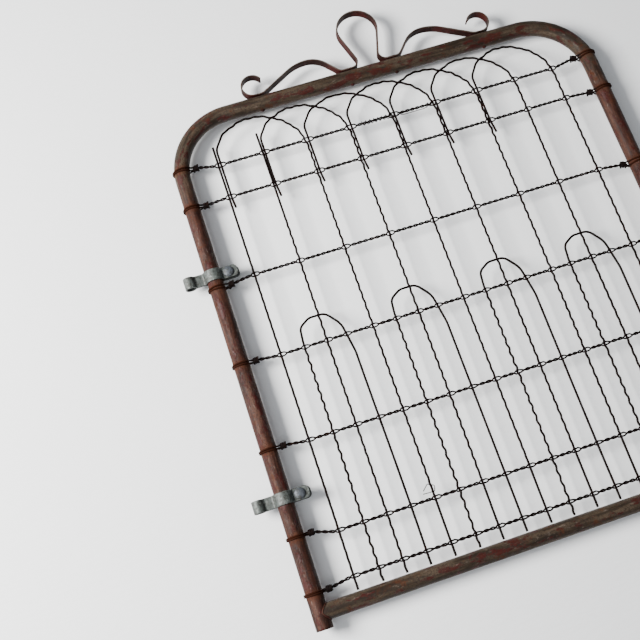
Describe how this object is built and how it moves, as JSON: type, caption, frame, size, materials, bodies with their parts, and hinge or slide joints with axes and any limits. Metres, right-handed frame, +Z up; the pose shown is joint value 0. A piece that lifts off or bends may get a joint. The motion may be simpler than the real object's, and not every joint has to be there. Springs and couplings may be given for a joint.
{
  "type": "panel gate",
  "caption": "Pipe-framed yard gate with woven wire infill, a riveted strip scroll on top and clamp-on strap hinges that drop over pintles.",
  "frame": {"origin": "pintle axis at mid height of the lower hinge eye", "axes": "+Z up along the pintle axis, +X across the gate away from the hinges, -Y out of the front face that carries the bolt heads"},
  "size_m": [0.9544, 0.0388, 1.1538],
  "materials": {
    "frame_paint": "worn red-brown paint over rusted steel tube",
    "rail_paint": "worn olive and dark red paint over rusted steel tube",
    "scroll_iron": "dark red-brown rusted flat bar",
    "fabric_wire": "near-black rusted steel wire",
    "line_wire": "dark brown rusted twisted wire",
    "repair_wire": "dull grey-brown thin wire",
    "galvanised": "weathered galvanised steel strap",
    "galvanised_bolt": "weathered galvanised steel"
  },
  "bodies": {
    "gate": {"frame_tube": "frame_paint", "bottom_rail": "rail_paint", "top_scroll": "scroll_iron", "scroll_rivets": "scroll_iron", "picket_1": "fabric_wire", "picket_2": "fabric_wire", "looped_picket_1": "fabric_wire", "looped_picket_2": "fabric_wire", "looped_picket_3": "fabric_wire", "looped_picket_4": "fabric_wire", "looped_picket_5": "fabric_wire", "looped_picket_6": "fabric_wire", "looped_picket_7": "fabric_wire", "lower_loop_1": "fabric_wire", "lower_loop_2": "fabric_wire", "lower_loop_3": "fabric_wire", "lower_loop_4": "fabric_wire", "line_wire_1": "line_wire", "line_wire_2": "line_wire", "line_wire_3": "line_wire", "line_wire_4": "line_wire", "line_wire_5": "line_wire", "line_wire_6": "line_wire", "line_wire_7": "line_wire", "repair_wire": "repair_wire", "wire_scrap": "repair_wire"},
    "upper_hinge": {"upper_hinge_strap": "galvanised", "upper_hinge_bolt": "galvanised_bolt", "upper_hinge_nut": "galvanised_bolt"},
    "lower_hinge": {"lower_hinge_strap": "galvanised", "lower_hinge_bolt": "galvanised_bolt", "lower_hinge_nut": "galvanised_bolt"}
  },
  "joints": [
    {"name": "lower_hinge_swivel", "type": "hinge", "parent": "gate", "child": "lower_hinge", "pos_m": [0.0477, 0, 0], "axis": [0, 0, 1], "range_deg": [-90, 90]},
    {"name": "upper_hinge_swivel", "type": "hinge", "parent": "gate", "child": "upper_hinge", "pos_m": [0.0477, 0, 0.444], "axis": [0, 0, 1], "range_deg": [-90, 90]}
  ]
}
